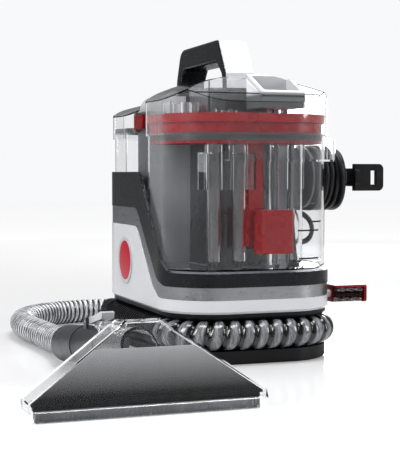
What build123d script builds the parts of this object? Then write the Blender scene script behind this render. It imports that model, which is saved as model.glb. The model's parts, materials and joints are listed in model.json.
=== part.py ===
"""Portable spot extractor: base with a hose channel, two lift-off tanks, a central tower
with a carry handle, a rear cord wrap, a stretch hose and a hand tool.  Millimetres, +Z up,
origin at the centre of the underside, front fairing towards -Y, recovery tank towards +X."""
import math
import os

from build123d import *

os.makedirs("parts", exist_ok=True)

# ------------------------------------------------------------------ driving dimensions
BODY_LENGTH = 280.0
BODY_WIDTH = 190.0
BODY_CORNER = 60.0
PLATE_TOP = 14.0
CHANNEL_TOP = 46.0
RIM_TOP = 52.0
WHITE_TOP = 66.0
SILVER_TOP = 79.0
DECK_TOP = 93.0
PILLAR_TOP = 196.0
SKIN = 3.4
CORE_INSET = 24.0
CORE_WALL = 3.0

TANK_BOTTOM = 95.0
TANK_RIM = 236.0
TANK_WALL = 2.5
TANK_HALF_WIDTH = 91.0
TANK_INNER_CORNER = 22.0
NOTCH_HALF = 38.0
LID_GROW = 2.5
LID_WALL = 2.0

TOWER_NEAR = 15.0
TOWER_FAR = -20.0
TOWER_HALF = 82.0
TOWER_TOP = 262.0
TOWER_WALL = 3.0
COLUMN_NEAR = 76.0
COLUMN_FAR = -90.0
COLUMN_HALF = 34.0
CAP_TOP = 284.0
HANDLE_HALF = 16.0
HANDLE_TOP = 339.0

HOSE_RADIUS = 15.0
HOSE_HEIGHT = 30.0
CORD_RADIUS = 3.25

TOOL_Y = -184.0
TOOL_START = (61.0, TOOL_Y, 19.5)
TOOL_TILT = 7.0
CUFF_RADIUS = 19.0
MOUTH_HALF = 101.0
NOZZLE_WALL = 2.2

WIDE = 600.0
NAMES = []


# ------------------------------------------------------------------ shared shapes
def save(builder, name):
    """Label a finished sub-part and write it as one STEP file."""
    builder.part.label = name
    export_step(builder.part, f"parts/{name}.step")
    NAMES.append(name)


def body_outline(height, inset):
    """Rounded plan of the base, pulled in by inset."""
    with BuildSketch(Plane.XY.offset(height)) as outline:
        RectangleRounded(BODY_LENGTH - 2 * inset, BODY_WIDTH - 2 * inset, BODY_CORNER - inset)
    return outline.sketch


def tank_plan(height, side, inner, notch_end, end, corner, inset):
    """U-shaped plan of a tank: side is +1 for the recovery tank and -1 for the clean tank."""
    inner_x = inner + inset
    notch_x = notch_end + inset
    with BuildSketch(Plane.XY.offset(height)) as plan:
        RectangleRounded(2 * (end - inset), 2 * (TANK_HALF_WIDTH - inset), corner - inset)
        with Locations((side * (inner_x - WIDE / 2), 0)):
            Rectangle(WIDE, WIDE, mode=Mode.SUBTRACT)
        with Locations((side * (inner_x + notch_x) / 2, 0)):
            Rectangle(notch_x - inner_x, 2 * (NOTCH_HALF + inset), mode=Mode.SUBTRACT)
        wall_x = side * inner_x
        ends = plan.vertices().filter_by_position(Axis.X, wall_x - 0.1, wall_x + 0.1)
        ends = ends.sort_by(Axis.Y)
        fillet([ends[0], ends[-1]], TANK_INNER_CORNER - inset)
    return plan.sketch


def box_between(low, high, mode=Mode.ADD):
    """Axis-aligned box from its low corner to its high corner."""
    centre = [(a + b) / 2 for a, b in zip(low, high)]
    with Locations(tuple(centre)):
        Box(high[0] - low[0], high[1] - low[1], high[2] - low[2], mode=mode)


def rod(start, direction, radius, length, mode=Mode.ADD):
    """Cylinder that starts at a point and runs along a direction."""
    with BuildSketch(Plane(origin=start, z_dir=direction)) as section:
        Circle(radius)
    extrude(section.sketch, amount=length, mode=mode)


def below_line(points, radii):
    """Region of the XZ plane under a rounded poly-line, used to trim the side skins."""
    with BuildSketch(Plane.XZ) as region:
        with BuildLine():
            top = FilletPolyline(*points, radius=radii)
            Polyline(top @ 1, (points[-1][0], -10), (points[0][0], -10), top @ 0)
        make_face()
    return region.sketch


RECOVERY = dict(side=1, inner=19.0, notch_end=80.0, end=139.0, corner=59.0)
CLEAN = dict(side=-1, inner=24.0, notch_end=94.0, end=136.0, corner=56.0)
EDGE_X = BODY_LENGTH / 2 + 5

# ------------------------------------------------------------------ base
FOOT_PLACES = [(sx * 92, sy * 58) for sx in (-1, 1) for sy in (-1, 1)]
FOOT_RADIUS = 10.0
FOOT_DEPTH = 2.0

with BuildPart() as foot_plate:
    extrude(body_outline(0, 3), amount=PLATE_TOP)
    chamfer(foot_plate.faces().sort_by(Axis.Z)[0].outer_wire().edges(), 2)
    extrude(body_outline(4, CORE_INSET + CORE_WALL), amount=PLATE_TOP, mode=Mode.SUBTRACT)
    with BuildSketch(Plane.XY):
        with Locations(*FOOT_PLACES):
            Circle(FOOT_RADIUS)
    extrude(amount=FOOT_DEPTH, mode=Mode.SUBTRACT)
save(foot_plate, "foot_plate")

with BuildPart() as rubber_feet:
    with BuildSketch(Plane.XY):
        with Locations(*FOOT_PLACES):
            Circle(FOOT_RADIUS)
    extrude(amount=FOOT_DEPTH)
save(rubber_feet, "rubber_feet")

with BuildPart() as channel_core:
    extrude(body_outline(PLATE_TOP, CORE_INSET), amount=CHANNEL_TOP - PLATE_TOP)
    extrude(body_outline(PLATE_TOP, CORE_INSET + CORE_WALL), amount=WIDE, mode=Mode.SUBTRACT)
save(channel_core, "channel_core")

with BuildPart() as channel_roof:
    extrude(body_outline(CHANNEL_TOP, 2.5), amount=RIM_TOP - CHANNEL_TOP)
    chamfer(channel_roof.faces().sort_by(Axis.Z)[0].outer_wire().edges(), 2.5)
    extrude(body_outline(CHANNEL_TOP, CORE_INSET + CORE_WALL), amount=WIDE, mode=Mode.SUBTRACT)
save(channel_roof, "channel_roof")

# The side skin is one rounded wall that three rounded lines divide into white, silver
# and charcoal bands; each line falls from the pillar to the ledge round the near end.
TOP_LINE = [(-EDGE_X, PILLAR_TOP), (16, PILLAR_TOP), (90, 104), (103, DECK_TOP), (EDGE_X, DECK_TOP)]
TOP_RADII = [8, 30, 14]
DARK_LINE = [(-EDGE_X, 157), (8, 157), (78, 86), (96, SILVER_TOP), (EDGE_X, SILVER_TOP)]
DARK_RADII = [22, 20, 20]
SILVER_LINE = [(-EDGE_X, 137), (8, 137), (63, 78), (84, WHITE_TOP), (EDGE_X, WHITE_TOP)]
SILVER_RADII = [22, 20, 20]
REAR_SHIFT = 62.0
BRACKET_X = (-18.0, 13.0)
BRACKET_Z = (174.0, 206.0)


def under_line(points, radii):
    """Everything under a dividing line, which falls further from the near end at the rear."""
    rear = [points[0], *((x - REAR_SHIFT, z) for x, z in points[1:-1]), points[-1]]
    with BuildPart() as under:
        extrude(below_line(points, radii), amount=WIDE)
        extrude(below_line(rear, radii), amount=-WIDE)
    return under.part


UNDER_TOP = under_line(TOP_LINE, TOP_RADII)
UNDER_DARK = under_line(DARK_LINE, DARK_RADII)
UNDER_SILVER = under_line(SILVER_LINE, SILVER_RADII)


def side_skin(inset):
    """Full-height side wall of the base and its fairings."""
    extrude(body_outline(RIM_TOP, inset), amount=PILLAR_TOP + 10 - RIM_TOP)
    extrude(body_outline(RIM_TOP, SKIN), amount=PILLAR_TOP + 10 - RIM_TOP, mode=Mode.SUBTRACT)


with BuildPart() as white_shell:
    side_skin(0)
    add(UNDER_SILVER, mode=Mode.INTERSECT)
    rim = white_shell.faces().sort_by(Axis.Z)[0].outer_wire().edges()
    chamfer(rim, 2.5)
save(white_shell, "white_shell")

with BuildPart() as silver_band:
    side_skin(0.5)
    add(UNDER_DARK, mode=Mode.INTERSECT)
    add(UNDER_SILVER, mode=Mode.SUBTRACT)
save(silver_band, "silver_band")

with BuildPart() as charcoal_frame:
    side_skin(0)
    add(UNDER_TOP, mode=Mode.INTERSECT)
    add(UNDER_DARK, mode=Mode.SUBTRACT)
    box_between(
        (BRACKET_X[0] - 1, 80, BRACKET_Z[0] - 1), (BRACKET_X[1] + 1, 100, 300), Mode.SUBTRACT
    )
save(charcoal_frame, "charcoal_frame")

DECK_THICK = 4.0
VALVE_AT = (-116.0, 0.0)
VALVE_BORE = 7.0
with BuildPart() as tank_deck:
    extrude(body_outline(DECK_TOP - DECK_THICK, SKIN), amount=DECK_THICK)
    with Locations((VALVE_AT[0], VALVE_AT[1], DECK_TOP)):
        Hole(VALVE_BORE, depth=DECK_THICK)
    with BuildSketch(Plane.XY.offset(DECK_TOP - DECK_THICK)):
        with Locations((30, 0)):
            Circle(16)
    extrude(amount=DECK_THICK, mode=Mode.SUBTRACT)
save(tank_deck, "tank_deck")

BADGE_AT = (-33.0, 97.0)
BADGE_RADIUS = 24.0
FRONT = BODY_WIDTH / 2


with BuildPart() as badge:
    with BuildSketch(Plane.XZ.offset(FRONT)):
        with Locations(BADGE_AT):
            Circle(BADGE_RADIUS + 2.6)
    extrude(amount=1.4)
    with BuildSketch(Plane.XZ.offset(FRONT + 1)):
        with Locations(BADGE_AT):
            Circle(BADGE_RADIUS)
    extrude(amount=1, mode=Mode.SUBTRACT)
save(badge, "badge")

LOUVRE_COUNT = 7
with BuildPart() as exhaust_grille:
    box_between((-112, FRONT, 62), (-52, FRONT + 1.8, 116))
    for index in range(LOUVRE_COUNT):
        level = 66 + 7 * index
        box_between((-107, FRONT - 1, level), (-57, FRONT + 3, level + 3.4), Mode.SUBTRACT)
save(exhaust_grille, "exhaust_grille")

# ------------------------------------------------------------------ motor, fan and pump
MOTOR_AT = (30.0, 0.0)
SHAFT_RADIUS = 4.0
SHAFT_CLEARANCE = 0.05


def disc(radius, low, high, mode=Mode.ADD, centre=MOTOR_AT):
    """Upright cylinder between two heights."""
    with Locations((centre[0], centre[1], (low + high) / 2)):
        Cylinder(radius, high - low, mode=mode)


with BuildPart() as motor_can:
    disc(42, 14, 62)
    disc(46, 60, 62)
    disc(39, 17, 59, Mode.SUBTRACT)
    disc(34, 4, 14)
    disc(40, 22, 52)
    disc(27, 22, 52, Mode.SUBTRACT)
    disc(SHAFT_RADIUS + SHAFT_CLEARANCE, 10, 64, Mode.SUBTRACT)
save(motor_can, "motor_can")

with BuildPart() as motor_rotor:
    disc(26, 24, 50)
    disc(SHAFT_RADIUS, 14.5, 78)
save(motor_rotor, "motor_rotor")

FAN_BLADES = 7
with BuildPart() as fan_impeller:
    disc(38, 66, 68)
    with Locations((MOTOR_AT[0], MOTOR_AT[1], 72)):
        with PolarLocations(22, FAN_BLADES):
            Box(26, 1.6, 8.4)
    disc(9, 66, 76)
    disc(SHAFT_RADIUS, 60, 80, Mode.SUBTRACT)
save(fan_impeller, "fan_impeller")

with BuildPart() as fan_housing:
    disc(46, 62, 86)
    disc(42, 62, 83, Mode.SUBTRACT)
    disc(16, 60, 90, Mode.SUBTRACT)
save(fan_housing, "fan_housing")

PUMP_AT = (-72.0, -26.0)
with BuildPart() as solution_pump:
    disc(15, 4, 46, centre=PUMP_AT)
    box_between((-92, -44, 46), (-52, -8, 62))
    rod((PUMP_AT[0], PUMP_AT[1], 62), (0, 0, 1), 3, 6)
save(solution_pump, "solution_pump")

with BuildPart() as pump_tube:
    with BuildLine():
        FilletPolyline(
            (PUMP_AT[0], PUMP_AT[1], 68),
            (PUMP_AT[0], PUMP_AT[1], 80),
            (VALVE_AT[0], -14, 80),
            (VALVE_AT[0], 0, 80),
            (VALVE_AT[0], 0, 86),
            radius=[5, 5, 5],
        )
    with BuildSketch(Plane(origin=(PUMP_AT[0], PUMP_AT[1], 68), z_dir=(0, 0, 1))):
        Circle(3)
    sweep()
save(pump_tube, "pump_tube")

with BuildPart() as control_board:
    box_between((-100, 18, 30), (-40, 52, 31.6))
    box_between((-92, 24, 31.6), (-76, 40, 45))
    box_between((-68, 24, 31.6), (-56, 46, 40))
    for corner_x in (-97, -43):
        for corner_y in (21, 49):
            rod((corner_x, corner_y, 4), (0, 0, 1), 2.5, 26)
save(control_board, "control_board")

SCREW_PLACES = [(sx * 104, sy * 34) for sx in (-1, 1) for sy in (-1, 1)]
with BuildPart() as base_screws:
    for x, y in SCREW_PLACES:
        rod((x, y, 4), (0, 0, 1), 3.2, 2.5)
        rod((x, y, 4), (0, 0, 1), 1.6, 14)
save(base_screws, "base_screws")

# ------------------------------------------------------------------ tower and handle
COLUMN_ROUND = 8.0
COLUMN_MIDDLE = (COLUMN_NEAR + COLUMN_FAR) / 2


def tower_plan(height, inset):
    """Cross-shaped plan: a wall between the tanks and a long column under the handle."""
    with BuildSketch(Plane.XY.offset(height)) as plan:
        with Locations(((TOWER_NEAR + TOWER_FAR) / 2, 0)):
            Rectangle(TOWER_NEAR - TOWER_FAR - 2 * inset, 2 * (TOWER_HALF - inset))
        with Locations((COLUMN_MIDDLE, 0)):
            RectangleRounded(
                COLUMN_NEAR - COLUMN_FAR - 2 * inset, 2 * (COLUMN_HALF - inset), COLUMN_ROUND - inset
            )
    return plan.sketch


with BuildPart() as tower_shell:
    extrude(tower_plan(DECK_TOP, 0), amount=TOWER_TOP - DECK_TOP)
    extrude(tower_plan(DECK_TOP, TOWER_WALL), amount=WIDE, mode=Mode.SUBTRACT)
save(tower_shell, "tower_shell")

DOME_TOP = 279.0
BUTTON_AT = (-6.0, 0.0)
BUTTON_LENGTH = 26.0
BUTTON_WIDTH = 14.0
with BuildPart() as tower_cap:
    with BuildSketch(Plane.YZ.offset(TOWER_FAR)):
        with BuildLine():
            arch = FilletPolyline(
                (-TOWER_HALF, TOWER_TOP), (-TOWER_HALF, DOME_TOP),
                (TOWER_HALF, DOME_TOP), (TOWER_HALF, TOWER_TOP), radius=[15, 15],
            )
            Line(arch @ 1, arch @ 0)
        make_face()
    extrude(amount=TOWER_NEAR - TOWER_FAR)
    with BuildSketch(Plane.XY.offset(TOWER_TOP)):
        with Locations((COLUMN_MIDDLE, 0)):
            RectangleRounded(COLUMN_NEAR - COLUMN_FAR, 2 * COLUMN_HALF, COLUMN_ROUND)
    extrude(amount=CAP_TOP - TOWER_TOP)
    chamfer(tower_cap.faces().sort_by(Axis.Z)[-1].outer_wire().edges(), 2)
    with BuildSketch(Plane.XY.offset(CAP_TOP - 8)):
        with Locations(BUTTON_AT):
            SlotOverall(BUTTON_LENGTH + 1, BUTTON_WIDTH + 1)
    extrude(amount=20, mode=Mode.SUBTRACT)
save(tower_cap, "tower_cap")

BUTTON_RISE = 3.0
BUTTON_TRAVEL = 2.5
with BuildPart() as power_button:
    with BuildSketch(Plane.XY.offset(CAP_TOP - 8 + BUTTON_TRAVEL + 0.5)):
        with Locations(BUTTON_AT):
            SlotOverall(BUTTON_LENGTH, BUTTON_WIDTH)
    extrude(amount=8 - BUTTON_TRAVEL - 0.5 + BUTTON_RISE)
    chamfer(power_button.faces().sort_by(Axis.Z)[-1].outer_wire().edges(), 1)
save(power_button, "power_button")

HANDLE_OUTER = [
    (-90, CAP_TOP), (-87, 304), (-73, HANDLE_TOP - 1), (50, HANDLE_TOP), (74, 300), (75, CAP_TOP)
]
HANDLE_OUTER_RADII = [10, 16, 20, 10]
HANDLE_INNER = [
    (-74, CAP_TOP), (-72, 302), (-62, 314.5), (44, 314.5), (60, 300), (61, CAP_TOP)
]
HANDLE_INNER_RADII = [6, 8, 10, 6]
COVER_THICK = 1.6


def handle_profile(points, radii):
    """Closed outline of the arch, or of its opening, on the long mid-plane."""
    with BuildSketch(Plane.XZ) as profile:
        with BuildLine():
            curve = FilletPolyline(*points, radius=radii)
            Line(curve @ 1, curve @ 0)
        make_face()
    return profile.sketch


with BuildPart() as handle_frame:
    outer_profile = handle_profile(HANDLE_OUTER, HANDLE_OUTER_RADII)
    inner_profile = handle_profile(HANDLE_INNER, HANDLE_INNER_RADII)
    extrude(outer_profile, amount=HANDLE_HALF, both=True)
    extrude(inner_profile, amount=HANDLE_HALF, both=True, mode=Mode.SUBTRACT)
    side_faces = handle_frame.faces().filter_by(Axis.Y)
    fillet(side_faces.edges().filter_by(lambda edge: edge.center().Z > CAP_TOP + 1), 3.5)
save(handle_frame, "handle_frame")

with BuildPart() as handle_cover:
    with BuildSketch(Plane.XZ):
        with BuildLine():
            Polyline(
                (52, HANDLE_TOP - 3.2), (74, 300.2), (75, CAP_TOP), (75 + COVER_THICK, CAP_TOP),
                (74 + COVER_THICK, 301), (53.8, HANDLE_TOP - 2.4), (52, HANDLE_TOP - 3.2),
            )
        make_face()
    extrude(amount=HANDLE_HALF - 0.6, both=True)
    extrude(outer_profile, amount=HANDLE_HALF, both=True, mode=Mode.SUBTRACT)
save(handle_cover, "handle_cover")

LATCH_Z = (243.0, 259.0)
LATCH_PIVOT = (-15.0, -87.4)
LATCH_PIN = 1.2
with BuildPart() as side_panel:
    box_between((TOWER_FAR, -TOWER_HALF - 2, PILLAR_TOP - 30), (TOWER_NEAR, -TOWER_HALF, TOWER_TOP))
    for low, high in ((LATCH_Z[0] - 3.4, LATCH_Z[0] - 0.4), (LATCH_Z[1] + 0.4, TOWER_TOP)):
        box_between((-18, -89.4, low), (-12, -TOWER_HALF - 2, high))
    rod((*LATCH_PIVOT, LATCH_Z[0] - 3), (0, 0, 1), LATCH_PIN, LATCH_Z[1] - LATCH_Z[0] + 5)
save(side_panel, "side_panel")

with BuildPart() as tank_latch:
    box_between((-18.5, -89.6, LATCH_Z[0]), (12, -85.4, LATCH_Z[1]))
    fillet(tank_latch.edges().filter_by(Axis.Z), 1)
    rod((*LATCH_PIVOT, LATCH_Z[0] - 1), (0, 0, 1), LATCH_PIN + 0.05, 20, Mode.SUBTRACT)
save(tank_latch, "tank_latch")

# ------------------------------------------------------------------ recovery tank
TANK_CHAMFER = 3.0
SPOUT_OUT = 11.0
SPOUT_Z = (207.0, 231.0)
SPOUT_START = (82.0, -41.0)
with BuildPart() as pour_spout:
    extrude(tank_plan(SPOUT_Z[0], inset=-SPOUT_OUT, **RECOVERY), amount=SPOUT_Z[1] - SPOUT_Z[0])
    extrude(tank_plan(SPOUT_Z[0] + 2, inset=2 - SPOUT_OUT, **RECOVERY), amount=WIDE, mode=Mode.SUBTRACT)
    extrude(tank_plan(SPOUT_Z[0], inset=0.5, **RECOVERY), amount=2, mode=Mode.SUBTRACT)
    box_between((*SPOUT_START, SPOUT_Z[0]), (200, 200, SPOUT_Z[1]), Mode.INTERSECT)

with BuildPart() as recovery_tank:
    extrude(tank_plan(TANK_BOTTOM, inset=0, **RECOVERY), amount=TANK_RIM - TANK_BOTTOM)
    floor_edges = recovery_tank.faces().sort_by(Axis.Z)[0].outer_wire().edges()
    chamfer(floor_edges, TANK_CHAMFER)
    extrude(
        tank_plan(TANK_BOTTOM + TANK_WALL, inset=TANK_WALL + 1.5, **RECOVERY),
        amount=8, mode=Mode.SUBTRACT,
    )
    extrude(
        tank_plan(TANK_BOTTOM + 8, inset=TANK_WALL, **RECOVERY), amount=WIDE, mode=Mode.SUBTRACT
    )
    add(pour_spout.part)
save(recovery_tank, "recovery_tank")

RING_STEP = 247.0
RING_TOP = 256.0
with BuildPart() as red_ring:
    extrude(tank_plan(RING_STEP, inset=0.4, **RECOVERY), amount=RING_TOP - RING_STEP)
    extrude(tank_plan(TANK_RIM + 0.4, inset=3.2, **RECOVERY), amount=RING_STEP - TANK_RIM - 0.4)
    extrude(tank_plan(225.4, inset=8, **RECOVERY), amount=14)
    extrude(tank_plan(225.4, inset=3.6, **RECOVERY), amount=3)
    extrude(tank_plan(200, inset=12, **RECOVERY), amount=WIDE, mode=Mode.SUBTRACT)
save(red_ring, "red_ring")

with BuildPart() as tank_seal:
    extrude(tank_plan(228.4, inset=2.9, **RECOVERY), amount=TANK_RIM + 0.4 - 228.4)
    extrude(tank_plan(228.4, inset=8, **RECOVERY), amount=WIDE, mode=Mode.SUBTRACT)
save(tank_seal, "tank_seal")

RIB_TOP = 268.0
RIB_BASE = 243.0
with BuildPart() as separator_plate:
    extrude(tank_plan(240, inset=12, **RECOVERY), amount=3)
    with Locations((98.5, 6, 243)):
        Hole(5, depth=4)
    with Locations((60, 62, 243)):
        Hole(9, depth=4)
    for y in (-74, -64, -54):
        box_between((36, y, RIB_BASE), (62, y + 2, RIB_TOP + 2))
        box_between((72, y, RIB_BASE), (96, y + 2, RIB_TOP))
    for y in (-30, -14, 52, 60):
        box_between((98, y, RIB_BASE), (112, y + 2, RIB_TOP - 8))
    for y in (-40, -22, 34):
        rod((104, y, RIB_BASE), (0, 0, 1), 2.4, 18)
    for x in (35, 67, 100):
        rod((x, -67, RIB_BASE), (0, 0, 1), 3, 24)
save(separator_plate, "separator_plate")


def lid_form(tank, inset, low, roof, crown):
    """Crowned lid solid: the tank plan trimmed by a roof line and by a side-to-side crown."""
    extrude(tank_plan(low, inset=inset - LID_GROW, **tank), amount=WIDE / 2)
    side = tank["side"]
    with BuildSketch(Plane.XZ) as roof_face:
        with BuildLine():
            Polyline(
                *[(side * x, z - inset) for x, z in roof],
                (side * roof[-1][0], -10), (side * roof[0][0], -10),
                (side * roof[0][0], roof[0][1] - inset),
            )
        make_face()
    extrude(roof_face.sketch, amount=WIDE, both=True, mode=Mode.INTERSECT)
    half, edge_z, top_z = crown
    with BuildSketch(Plane.YZ) as crown_face:
        with BuildLine():
            Polyline((-half, edge_z - inset), (-half, 0), (half, 0), (half, edge_z - inset))
            ThreePointArc((half, edge_z - inset), (0, top_z - inset), (-half, edge_z - inset))
        make_face()
    extrude(crown_face.sketch, amount=WIDE, both=True, mode=Mode.INTERSECT)


RECOVERY_ROOF = [(0, 288), (50, 293), (88, 296), (128, 277), (150, 262)]
RECOVERY_CROWN = (97.0, 268.0, 297.0)
LID_LOW = 234.0
with BuildPart() as recovery_lid_inner:
    lid_form(RECOVERY, LID_WALL, LID_LOW - 1, RECOVERY_ROOF, RECOVERY_CROWN)

GRIP_X = (88.0, 131.0)
GRIP_Y = (2.0, 50.0)
GRIP_FLOOR = 262.0
with BuildPart() as recovery_lid:
    lid_form(RECOVERY, 0, LID_LOW, RECOVERY_ROOF, RECOVERY_CROWN)
    add(recovery_lid_inner.part, mode=Mode.SUBTRACT)
    box_between((GRIP_X[0], GRIP_Y[0], 258), (GRIP_X[1], GRIP_Y[1], 320), Mode.SUBTRACT)
save(recovery_lid, "recovery_lid")

with BuildPart() as lid_grip_form:
    lid_form(RECOVERY, -3.0, GRIP_FLOOR, RECOVERY_ROOF, RECOVERY_CROWN)

GRIP_WALL = 4.0
with BuildPart() as lid_grip:
    add(lid_grip_form.part)
    box_between((GRIP_X[0], GRIP_Y[0], GRIP_FLOOR), (GRIP_X[1], GRIP_Y[1], 320), Mode.INTERSECT)
    box_between(
        (GRIP_X[0] + GRIP_WALL, GRIP_Y[0] + GRIP_WALL, GRIP_FLOOR + 2),
        (GRIP_X[1] - GRIP_WALL, GRIP_Y[1] - GRIP_WALL, 320),
        Mode.SUBTRACT,
    )
save(lid_grip, "lid_grip")


def standpipe(x, y, radius, low, high, step_z):
    """Clear stepped tube that hangs from the separator plate."""
    rod((x, y, step_z), (0, 0, 1), radius, high - step_z)
    rod((x, y, low), (0, 0, 1), radius - 1.8, step_z - low)
    rod((x, y, low - 1), (0, 0, 1), radius - 3.4, high - low + 2, Mode.SUBTRACT)


FLOAT_BORE = 5.0
FLOAT_AXIS = (120.0, 20.0)
PIPE_PLACES = [(112.0, -44.0), (112.0, -16.0), (112.0, 48.0)]
PIPE_RADIUS = 9.0
with BuildPart() as standpipes:
    for pipe_x, pipe_y in PIPE_PLACES:
        standpipe(pipe_x, pipe_y, PIPE_RADIUS, 104, 240, 178)
    rod((*FLOAT_AXIS, 100), (0, 0, 1), FLOAT_BORE - 0.08, 140)
save(standpipes, "standpipes")

with BuildPart() as separator_box:
    box_between((98, -56, 178), (126, -3, 216))
    box_between((99.5, -54.5, 176), (124.5, -4.5, 214.5), Mode.SUBTRACT)
    for pipe_y in (-44, -16):
        rod((112, pipe_y, 200), (0, 0, 1), 9, 30, Mode.SUBTRACT)
save(separator_box, "separator_box")

with BuildPart() as red_duct:
    box_between((92.5, -2, 118), (104.5, 14, 240))
    box_between((94.5, 0, 110), (102.5, 12, 250), Mode.SUBTRACT)
save(red_duct, "red_duct")

with BuildPart() as float_block:
    box_between((106, 2, 112), (134, 37, 157))
    fillet(float_block.edges().filter_by(Axis.Z), 4)
    rod((*FLOAT_AXIS, 100), (0, 0, 1), FLOAT_BORE, 80, Mode.SUBTRACT)
save(float_block, "float_block")

# ------------------------------------------------------------------ clean tank
CLEAN_RIM = 240.0
with BuildPart() as valve_cage:
    rod((*VALVE_AT, 97), (0, 0, 1), 13, 24)
    rod((*VALVE_AT, 97), (0, 0, 1), 11, 22, Mode.SUBTRACT)
    rod((*VALVE_AT, 110), (0, 0, 1), 3.5, 20, Mode.SUBTRACT)
    with Locations((*VALVE_AT, 106)):
        with PolarLocations(12, 4):
            Box(8, 8, 12, mode=Mode.SUBTRACT)

with BuildPart() as clean_tank:
    extrude(tank_plan(TANK_BOTTOM, inset=0, **CLEAN), amount=CLEAN_RIM - TANK_BOTTOM)
    extrude(
        tank_plan(TANK_BOTTOM + TANK_WALL, inset=TANK_WALL, **CLEAN),
        amount=WIDE, mode=Mode.SUBTRACT,
    )
    rod((*VALVE_AT, 90), (0, 0, 1), 4, 20, Mode.SUBTRACT)
    add(valve_cage.part)
save(clean_tank, "clean_tank")

CLEAN_ROOF = [(10, 268), (60, 278), (110, 276), (150, 262)]
CLEAN_CROWN = (97.0, 258.0, 281.0)
with BuildPart() as clean_lid_inner:
    lid_form(CLEAN, LID_WALL, CLEAN_RIM - 7, CLEAN_ROOF, CLEAN_CROWN)

with BuildPart() as clean_lid:
    lid_form(CLEAN, 0, CLEAN_RIM - 6, CLEAN_ROOF, CLEAN_CROWN)
    add(clean_lid_inner.part, mode=Mode.SUBTRACT)
save(clean_lid, "clean_lid")

with BuildPart() as clean_lid_gasket:
    extrude(tank_plan(CLEAN_RIM + 0.3, inset=0.2, **CLEAN), amount=5)
    extrude(tank_plan(CLEAN_RIM, inset=7, **CLEAN), amount=WIDE, mode=Mode.SUBTRACT)
save(clean_lid_gasket, "clean_lid_gasket")

with BuildPart() as clean_valve:
    rod((*VALVE_AT, 98), (0, 0, 1), 8, 3)
    rod((*VALVE_AT, 93.4), (0, 0, 1), 3.4, 5)
    rod((*VALVE_AT, 101), (0, 0, 1), 3, 14)
save(clean_valve, "clean_valve")

with BuildPart() as valve_spring:
    rod((*VALVE_AT, 101), (0, 0, 1), 6.5, 17.5)
    rod((*VALVE_AT, 100), (0, 0, 1), 5, 22, Mode.SUBTRACT)
save(valve_spring, "valve_spring")

# ------------------------------------------------------------------ cord wrap
WRAP_CENTRE = (0.0, 190.0)
HUB_HALF = 45.0
HUB_RISE = 20.0
WRAP_BACK = 96.0
HUB_START = 99.0
HUB_END = 142.0


def wrap_slot(start, amount, half_length, half_height, centre=WRAP_CENTRE, mode=Mode.ADD):
    """Stadium shape on a vertical plane, extruded towards the rear."""
    with BuildSketch(Plane.XZ.offset(-start)) as stadium:
        with Locations(centre):
            SlotOverall(2 * half_length, 2 * half_height)
    extrude(stadium.sketch, amount=-amount, mode=mode)


with BuildPart() as cord_back_plate:
    wrap_slot(WRAP_BACK, HUB_START - WRAP_BACK, 60, 34)
    box_between(
        (BRACKET_X[0], TOWER_HALF, BRACKET_Z[0]), (BRACKET_X[1], WRAP_BACK, BRACKET_Z[1])
    )
save(cord_back_plate, "cord_back_plate")

with BuildPart() as cord_hub:
    wrap_slot(HUB_START, HUB_END - HUB_START, HUB_HALF, HUB_RISE)
    chamfer(cord_hub.faces().sort_by(Axis.Y)[-1].outer_wire().edges(), 2)
    box_between((-66, HUB_END, 182), (-34, HUB_END + 4, 198))
    rod((30, HUB_END + 1, 190), (0, -1, 0), 3.05, 16, Mode.SUBTRACT)
save(cord_hub, "cord_hub")

HOOK_START = HUB_END + 0.4
with BuildPart() as cord_hook:
    box_between((20, HOOK_START, 180), (66, HOOK_START + 6, 200))
    fillet(cord_hook.edges().filter_by(Axis.Y), 4)
    box_between((58, HOOK_START, 175), (64, HOOK_START + 36, 205))
    tab_corners = cord_hook.edges().filter_by(Axis.X).group_by(Axis.Y)[-1]
    fillet(tab_corners, 6)
    box_between((50, HOOK_START + 20, 182), (70, HOOK_START + 27.5, 197.5), Mode.SUBTRACT)
    rod((30, HOOK_START + 1, 190), (0, -1, 0), 3.0, 14)
save(cord_hook, "cord_hook")

COIL_CENTRE = (2.0, 186.5)
COIL_HALF = 66.0
COIL_RISE = 31.0
COIL_Y = (99.6, 139.0)
with BuildPart() as cord_coil:
    wrap_slot(COIL_Y[0], COIL_Y[1] - COIL_Y[0], COIL_HALF, COIL_RISE, COIL_CENTRE)
    wrap_slot(COIL_Y[0], COIL_Y[1] - COIL_Y[0], HUB_HALF + 0.6, HUB_RISE + 0.6, mode=Mode.SUBTRACT)
save(cord_coil, "cord_coil")

GLAND_AT = (-30.0, 112.0)
with BuildPart() as cord_gland:
    rod((GLAND_AT[0], FRONT, GLAND_AT[1]), (0, 1, 0), 7, 3)
    with BuildSketch(Plane(origin=(GLAND_AT[0], FRONT + 3, GLAND_AT[1]), z_dir=(0, 1, 0))):
        Circle(5.5)
    extrude(amount=17, taper=5)
save(cord_gland, "cord_gland")

COIL_BOTTOM = COIL_CENTRE[1] - COIL_RISE
COIL_FACE = COIL_Y[1]
FIRST_LEAD = [
    (-30, 115, 112), (-30, 125.2, 112.6), (-30.1, 136.2, 117.8), (-30, 142, 128.8),
    (-29.5, 141, 141.8), (-28.5, 133.2, COIL_BOTTOM),
]
LAST_LEAD = [
    (-53, COIL_FACE, 176), (-57, 147.5, 174.5), (-66, 151, 170), (-76, 149, 163),
    (-82.5, 142, 154), (-85, 133.5, 145), (-86, 128, 134),
]


def route_radii(points):
    """Arc radius at each inner point: 0.45 of its shorter run over the tangent of half the turn."""
    radii = []
    for before, here, after in zip(points, points[1:], points[2:]):
        run_in = Vector(*here) - Vector(*before)
        run_out = Vector(*after) - Vector(*here)
        half_turn = math.radians(run_in.get_angle(run_out)) / 2
        radii.append(0.45 * min(run_in.length, run_out.length) / math.tan(half_turn))
    return radii


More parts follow.
